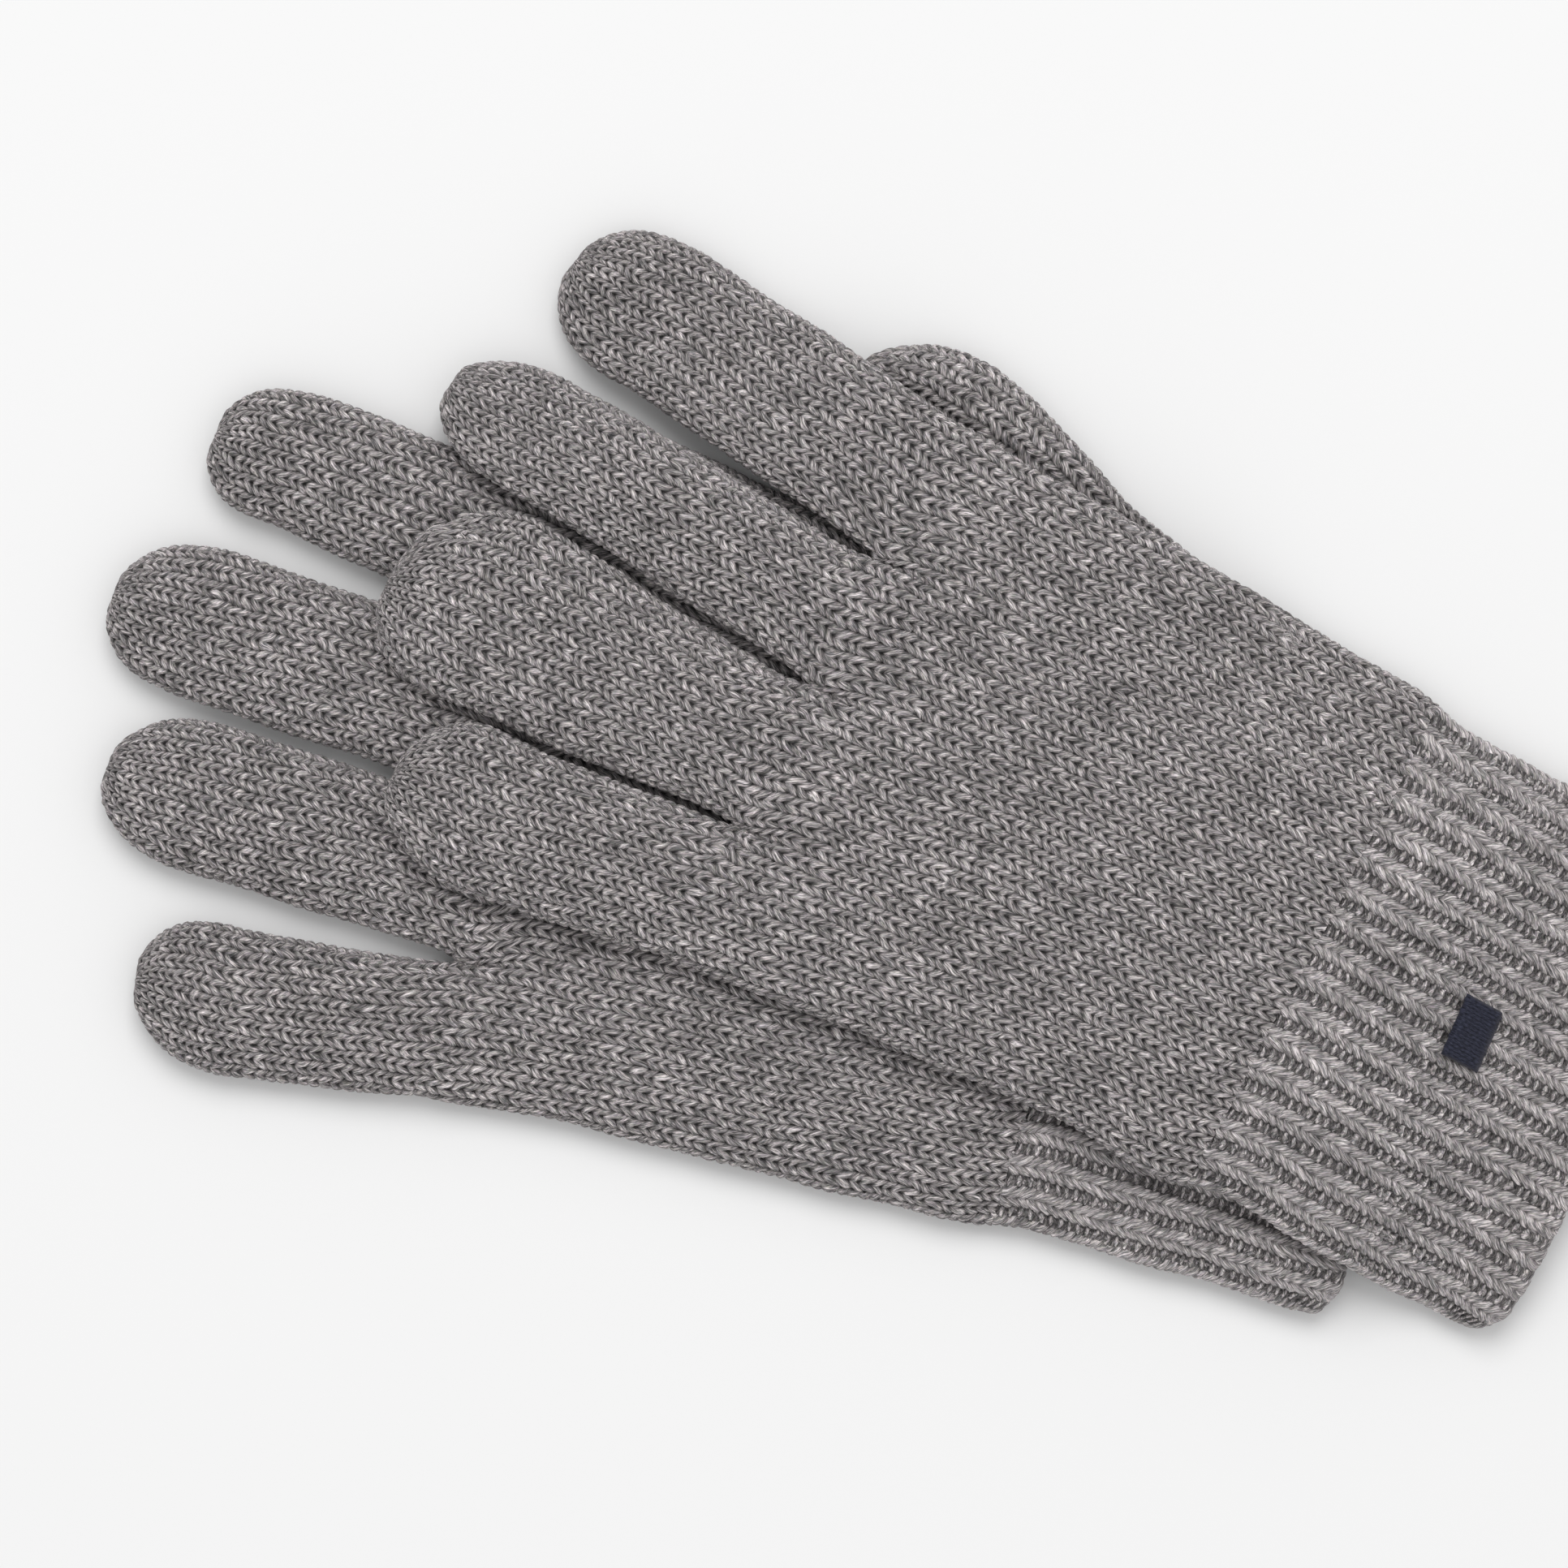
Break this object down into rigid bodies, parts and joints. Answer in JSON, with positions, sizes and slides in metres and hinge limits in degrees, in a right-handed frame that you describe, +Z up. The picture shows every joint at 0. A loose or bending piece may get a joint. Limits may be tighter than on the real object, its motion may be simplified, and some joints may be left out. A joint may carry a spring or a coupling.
{
  "type": "knitted gloves",
  "caption": "Pair of knitted gloves with ribbed cuffs lying flat, the left one palm down across the right one, fingers and cuff that fold.",
  "frame": {"origin": "on the floor under the middle of the pair", "axes": "+X towards the fingertips, half way between the two gloves; +Z up; +Y towards the little fingers"},
  "size_m": [0.2954, 0.1754, 0.0183],
  "materials": {
    "jersey_knit": "grey melange plain knitting, matt and slightly fuzzy",
    "rib_knit": "grey melange one by one ribbing, matt",
    "label_satin": "blank white woven satin",
    "patch_thread": "plain dark satin stitch embroidery"
  },
  "bodies": {
    "right_glove": {"right_hand": "jersey_knit", "right_cuff": "rib_knit", "right_cuff_edge": "rib_knit", "right_label": "label_satin", "right_thumb": "jersey_knit", "right_index_base": "jersey_knit", "right_middle_base": "jersey_knit", "right_ring_base": "jersey_knit"},
    "right_little_base": {"right_little_base": "jersey_knit"},
    "left_glove": {"left_hand": "jersey_knit"},
    "left_cuff": {"left_cuff": "rib_knit", "left_cuff_edge": "rib_knit", "left_label": "label_satin", "left_patch": "patch_thread"},
    "left_thumb": {"left_thumb": "jersey_knit"},
    "left_index_base": {"left_index_base": "jersey_knit"},
    "left_middle_base": {"left_middle_base": "jersey_knit"},
    "left_ring_base": {"left_ring_base": "jersey_knit"},
    "left_little_base": {"left_little_base": "jersey_knit"},
    "left_index_end": {"left_index_end": "jersey_knit"},
    "left_middle_end": {"left_middle_end": "jersey_knit"},
    "left_ring_end": {"left_ring_end": "jersey_knit"},
    "left_little_end": {"left_little_end": "jersey_knit"},
    "right_index_end": {"right_index_end": "jersey_knit"},
    "right_middle_end": {"right_middle_end": "jersey_knit"},
    "right_ring_end": {"right_ring_end": "jersey_knit"},
    "right_little_end": {"right_little_end": "jersey_knit"}
  },
  "joints": [
    {"name": "left_glove_lift", "type": "slide", "parent": "right_glove", "child": "left_glove", "axis": [0, 0, 1], "range_m": [0, 0.08]},
    {"name": "left_cuff_fold", "type": "hinge", "parent": "left_glove", "child": "left_cuff", "pos_m": [-0.07938, -0.01089, 0.0176], "axis": [0.0958, 0.9954, 0], "range_deg": [0, 75]},
    {"name": "left_thumb_swing", "type": "hinge", "parent": "left_glove", "child": "left_thumb", "pos_m": [-0.04245, -0.05514, 0.009], "axis": [0, 0, -1], "range_deg": [0, 25]},
    {"name": "left_index_root_fold", "type": "hinge", "parent": "left_glove", "child": "left_index_base", "pos_m": [0.0203, -0.06068, 0.0176], "axis": [-0.0958, -0.9954, 0], "range_deg": [0, 60]},
    {"name": "left_middle_root_fold", "type": "hinge", "parent": "left_glove", "child": "left_middle_base", "pos_m": [0.02299, -0.03281, 0.0176], "axis": [-0.0958, -0.9954, 0], "range_deg": [0, 60]},
    {"name": "left_ring_root_fold", "type": "hinge", "parent": "left_glove", "child": "left_ring_base", "pos_m": [0.02562, -0.00543, 0.0176], "axis": [-0.0958, -0.9954, 0], "range_deg": [0, 60]},
    {"name": "left_little_root_fold", "type": "hinge", "parent": "left_glove", "child": "left_little_base", "pos_m": [0.02835, 0.02294, 0.0176], "axis": [-0.0958, -0.9954, 0], "range_deg": [0, 60]},
    {"name": "left_index_tip_fold", "type": "hinge", "parent": "left_index_base", "child": "left_index_end", "pos_m": [0.05184, -0.06702, 0.0176], "axis": [-0.0958, -0.9954, 0], "range_deg": [0, 80]},
    {"name": "left_middle_tip_fold", "type": "hinge", "parent": "left_middle_base", "child": "left_middle_end", "pos_m": [0.05861, -0.03846, 0.0176], "axis": [-0.0958, -0.9954, 0], "range_deg": [0, 80]},
    {"name": "left_ring_tip_fold", "type": "hinge", "parent": "left_ring_base", "child": "left_ring_end", "pos_m": [0.05759, -0.00726, 0.0176], "axis": [-0.0958, -0.9954, 0], "range_deg": [0, 80]},
    {"name": "left_little_tip_fold", "type": "hinge", "parent": "left_little_base", "child": "left_little_end", "pos_m": [0.05255, 0.02384, 0.0176], "axis": [-0.0958, -0.9954, 0], "range_deg": [0, 80]},
    {"name": "right_little_root_fold", "type": "hinge", "parent": "right_glove", "child": "right_little_base", "pos_m": [0.06199, 0.06453, 0.0086], "axis": [0.0958, -0.9954, 0], "range_deg": [0, 60]},
    {"name": "right_index_tip_fold", "type": "hinge", "parent": "right_glove", "child": "right_index_end", "pos_m": [0.10544, -0.02159, 0.0086], "axis": [0.0958, -0.9954, 0], "range_deg": [0, 80]},
    {"name": "right_middle_tip_fold", "type": "hinge", "parent": "right_glove", "child": "right_middle_end", "pos_m": [0.10233, 0.01068, 0.0086], "axis": [0.0958, -0.9954, 0], "range_deg": [0, 80]},
    {"name": "right_ring_tip_fold", "type": "hinge", "parent": "right_glove", "child": "right_ring_end", "pos_m": [0.08953, 0.03932, 0.0086], "axis": [0.0958, -0.9954, 0], "range_deg": [0, 80]},
    {"name": "right_little_tip_fold", "type": "hinge", "parent": "right_little_base", "child": "right_little_end", "pos_m": [0.08254, 0.07017, 0.0086], "axis": [0.0958, -0.9954, 0], "range_deg": [0, 80]}
  ]
}
